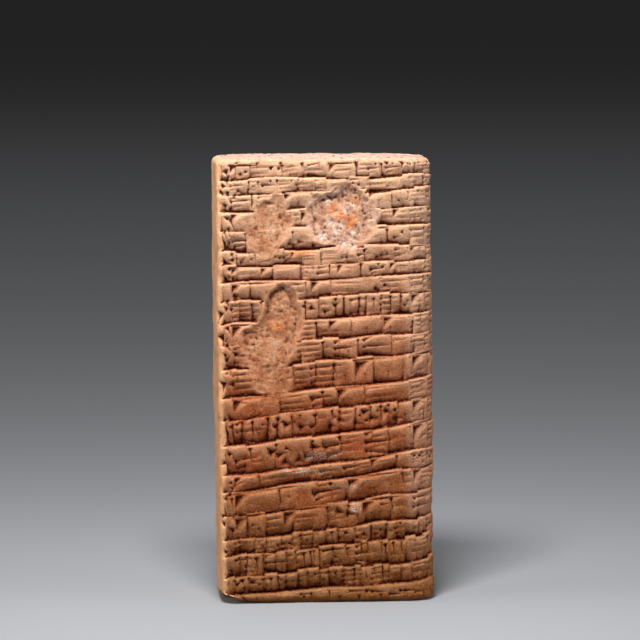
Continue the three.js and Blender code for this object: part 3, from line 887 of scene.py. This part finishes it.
def fired_clay(props):
    """Fired clay, smoothed by hand and pressed with a reed, then stained in the ground: matt and slightly
    gritty, cream at the top, red brown to ochre below, with painted shade in its strokes and a painted
    highlight on its lips."""
    material = bpy.data.materials.new("fired_clay")
    material.use_nodes = True
    tree = material.node_tree
    shader = tree.nodes["Principled BSDF"]
    shader.inputs["Roughness"].default_value = 0.78
    shader.inputs["Specular IOR Level"].default_value = 0.05
    place = add_node(tree, "ShaderNodeTexCoord").outputs["Object"]
    axes = add_node(tree, "ShaderNodeSeparateXYZ", None, {"Vector": place})
    height = add_node(tree, "ShaderNodeMapRange", None, {"Value": axes.outputs["Z"], "From Max": HIGHEST.z})
    value = {}
    for name in ("hollow", "groove", "strip", "spall", "crust", "ember", "chalk", "rim"):
        value[name] = add_node(tree, "ShaderNodeAttribute", {"attribute_name": name}).outputs["Fac"]
    noises = {}
    for name, size, detail in (("broad", 12.0, 2.0), ("patch", 3.0, 4.0), ("speck", 1.1, 1.0),
                               ("grain", 0.5, 2.0), ("grit", 0.28, 1.0)):
        inputs = {"Vector": place, "Scale": 1 / (size * MM), "Detail": detail, "Roughness": 0.6}
        noises[name] = add_node(tree, "ShaderNodeTexNoise", None, inputs).outputs["Fac"]
    colour = coat(tree, (*props.body, 1), noises["broad"], (0.46, 0.62), 0.75, props.red)
    colour = coat(tree, colour, height.outputs[0], (0.34, 0.1), 0.8, props.foot)
    colour = coat(tree, colour, height.outputs[0], (0.48, 0.88), 1.0, props.head)
    colour = coat(tree, colour, value["rim"], (0, 1), 0.75, CLAY["rim"])
    colour = coat(tree, colour, noises["patch"], (0.52, 0.72), 0.35, CLAY["dust"])
    colour = coat(tree, colour, noises["patch"], (0.48, 0.3), 0.5, CLAY["stain"])
    colour = coat(tree, colour, value["strip"], (0, 1), 0.4, CLAY["strip"])
    top = add_node(tree, "ShaderNodeMapRange", None,
                   {"Value": height.outputs[0], "From Min": 0.991, "From Max": 0.998, "To Max": 0.85})
    colour = coat(tree, colour, top.outputs[0], (0, 1), 1.0, CLAY["top"])
    # Dark specks on the top face: painted shade of small pits.
    colour = coat(tree, colour, noises["speck"], (0.6, 0.66), top.outputs[0], CLAY["pit"])
    # Painted highlight: the proud lips are paler, more so towards the head.
    lip_highlight_strength = add_node(tree, "ShaderNodeMapRange", None,
                   {"Value": height.outputs[0], "To Min": 0.15, "To Max": 0.5})
    colour = coat(tree, colour, value["hollow"], (-0.05, -0.5), lip_highlight_strength.outputs[0], CLAY["lip_highlight"])
    colour = coat(tree, colour, value["spall"], (0, 1), 0.7, grained(tree, place, 3.0, SPALL))
    colour = coat(tree, colour, value["crust"], (0, 0.9), 0.85, grained(tree, place, 3.2, CRUST, 0.72))
    colour = coat(tree, colour, value["ember"], (0.1, 0.9), 0.72, grained(tree, place, 1.4, EMBER))
    # Painted shade: darker and redder in the hollows and narrow grooves of the strokes.
    colour = coat(tree, colour, value["hollow"], (0.05, 0.55), 0.85, CLAY["hollow"])
    colour = coat(tree, colour, value["groove"], (0.05, 0.5), 0.92, CLAY["groove"])
    flecks = add_node(tree, "ShaderNodeMapRange", None,
                      {"Value": noises["grit"], "From Min": 0.5, "From Max": 0.6, "To Max": 0.7})
    colour = coat(tree, colour, value["chalk"], (0.2, 0.9), flecks.outputs[0], CLAY["chalk"])
    colour = coat(tree, colour, noises["grain"], (0.5, 0.72), 0.35, CLAY["dust"])
    colour = coat(tree, colour, noises["grain"], (0.45, 0.28), 0.45, CLAY["pit"])
    tree.links.new(colour, shader.inputs["Base Color"])
    # The real grit is under 0.1 mm, too fine to show, so it is drawn at 0.28 and 0.5 mm.
    lumps = add_node(tree, "ShaderNodeMath", {"operation": "ADD"}, {0: noises["grain"], 1: noises["grit"]})
    bump = add_node(tree, "ShaderNodeBump", None,
                    {"Height": lumps.outputs[0], "Strength": 0.7, "Distance": 0.2 * MM})
    tree.links.new(bump.outputs["Normal"], shader.inputs["Normal"])
    return material


# ---- Settings ----

class TabletSettings(bpy.types.PropertyGroup):
    """Sizes and colours of the tablet."""

    seed: IntProperty(name="Seed", description="Which run of strokes is pressed", default=20260)
    ledge: FloatProperty(name="Ledge", description="How far each row's face leans in, against its height",
                         default=1.0)
    slope: FloatProperty(name="Slope", description="Depth of a stroke against the width of its head",
                         default=0.62)
    crater: FloatProperty(name="Crater depth", description="Depth of the round loss, in millimetres",
                          default=1.5)
    body: FloatVectorProperty(name="Body", description="Colour of the clay in the middle of its height",
                              subtype="COLOR", default=linear(CLAY["middle"]))
    red: FloatVectorProperty(name="Red", description="Colour of the broad patches that fired redder",
                             subtype="COLOR", default=linear(CLAY["red"]))
    foot: FloatVectorProperty(name="Foot", description="Colour of the clay towards its foot",
                              subtype="COLOR", default=linear(CLAY["foot"]))
    head: FloatVectorProperty(name="Head", description="Colour of the clay towards its head",
                              subtype="COLOR", default=linear(CLAY["head"]))


class StageSettings(bpy.types.PropertyGroup):
    """The floor, the lights and the camera."""

    floor: FloatVectorProperty(name="Floor", description="Colour of the floor", subtype="COLOR",
                               default=linear("9a9ca0"))
    lens: FloatProperty(name="Lens", description="Focal length in millimetres", unit="CAMERA", default=200)


class TABLET_OT_build(bpy.types.Operator):
    """Builds the tablet and puts it in the place of its plain solid"""

    bl_idname = "tablet.build"
    bl_label = "Build tablet"

    def execute(self, context):
        props = context.scene.tablet
        points, faces, values = tablet_surface(props)
        piece = mesh_object("clay_tablet", points, faces, values)
        thin_out(piece, MOST_TRIANGLES)
        piece.data.materials.append(fired_clay(props))
        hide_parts(NODE)
        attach(piece, "root")
        return {"FINISHED"}


FLOOR_REACH = 60.0
SKY = {"colour": (0.95, 0.92, 0.9, 1), "strength": 0.045}
LIGHTS = [  # name, place in metres, size in metres and power in watts
    ("key", (-0.03, -0.138, 0.29), 0.07, 1.3),
    ("left_side", (-0.7, -0.1, 0.3), 0.5, 2.3),
    ("right_side", (0.7, -0.25, 0.3), 0.5, 2.0),
    ("over", (0.0, 0.7, 2.4), 1.6, 9.0),
]
SENSOR = 36
AIM = (-0.0012, 0, 0.0661)
AZIMUTH = -5
RISE = 5.5
NEAREST = 0.1528  # how far off a lens as long as the sensor is wide would stand


class TABLET_OT_stage(bpy.types.Operator):
    """Lays the floor, and sets the lights and the camera"""

    bl_idname = "tablet.stage"
    bl_label = "Set stage"

    def execute(self, context):
        props = context.scene.tablet_stage
        floor_mesh = bpy.data.meshes.new("floor")
        corners = [(x * FLOOR_REACH, y * FLOOR_REACH, 0) for x, y in ((-1, -1), (1, -1), (1, 1), (-1, 1))]
        floor_mesh.from_pydata(corners, [], [(0, 1, 2, 3)])
        floor = bpy.data.objects.new("floor", floor_mesh)
        context.scene.collection.objects.link(floor)
        paper = bpy.data.materials.new("matt_paper")
        paper.use_nodes = True
        paper.node_tree.nodes["Principled BSDF"].inputs["Base Color"].default_value = (*props.floor, 1)
        paper.node_tree.nodes["Principled BSDF"].inputs["Roughness"].default_value = 0.9
        floor_mesh.materials.append(paper)
        self.lights(context)
        self.camera(context, props)
        return {"FINISHED"}

    def lights(self, context):
        """A small soft box above and a little in front, which rakes down the face; a weaker one at each
        side; a large one high over the floor behind; and a weak even light from all round."""
        world = bpy.data.worlds.new("studio")
        world.use_nodes = True
        world.node_tree.nodes["Background"].inputs["Color"].default_value = SKY["colour"]
        world.node_tree.nodes["Background"].inputs["Strength"].default_value = SKY["strength"]
        context.scene.world = world
        context.scene.view_settings.view_transform = "Standard"
        middle = Vector((0, 0, 0.06))
        for name, place, size, power in LIGHTS:
            light = bpy.data.lights.new(name, "AREA")
            light.size = size
            light.energy = power
            lamp = bpy.data.objects.new(name, light)
            lamp.location = place
            lamp.rotation_euler = (middle - Vector(place)).to_track_quat("-Z", "Y").to_euler()
            context.scene.collection.objects.link(lamp)

    def camera(self, context, props):
        """A long lens, a little to the left and a little above, at the tablet's middle."""
        lens = bpy.data.cameras.new("camera")
        lens.lens = props.lens
        lens.sensor_width = SENSOR
        lens.clip_end = 200
        eye = bpy.data.objects.new("camera", lens)
        context.scene.collection.objects.link(eye)
        azimuth = math.radians(AZIMUTH)
        rise = math.radians(RISE)
        level = math.cos(rise)
        back = Vector((math.sin(azimuth) * level, -math.cos(azimuth) * level, math.sin(rise)))
        eye.location = Vector(AIM) + back * (NEAREST * props.lens / SENSOR)
        eye.rotation_euler = (-back).to_track_quat("-Z", "Y").to_euler()
        context.scene.camera = eye


class TABLET_PT_panel(bpy.types.Panel):
    """Lists the tablet's settings and steps"""

    bl_idname = "TABLET_PT_panel"
    bl_label = "Clay tablet"
    bl_space_type = "VIEW_3D"
    bl_region_type = "UI"
    bl_category = "Tablet"

    def draw(self, context):
        for key in ("seed", "ledge", "slope", "crater", "body", "red", "foot", "head"):
            self.layout.prop(context.scene.tablet, key)
        self.layout.operator("tablet.build")
        for key in ("floor", "lens"):
            self.layout.prop(context.scene.tablet_stage, key)
        self.layout.operator("tablet.stage")


CLASSES = (TabletSettings, StageSettings, TABLET_OT_build, TABLET_OT_stage, TABLET_PT_panel)


def register():
    for kind in CLASSES:
        bpy.utils.register_class(kind)
    bpy.types.Scene.tablet = PointerProperty(type=TabletSettings)
    bpy.types.Scene.tablet_stage = PointerProperty(type=StageSettings)


def unregister():
    del bpy.types.Scene.tablet_stage
    del bpy.types.Scene.tablet
    for kind in reversed(CLASSES):
        bpy.utils.unregister_class(kind)


def main():
    register()
    bpy.ops.tablet.stage()
    bpy.ops.tablet.build()


if __name__ == "__main__":
    main()
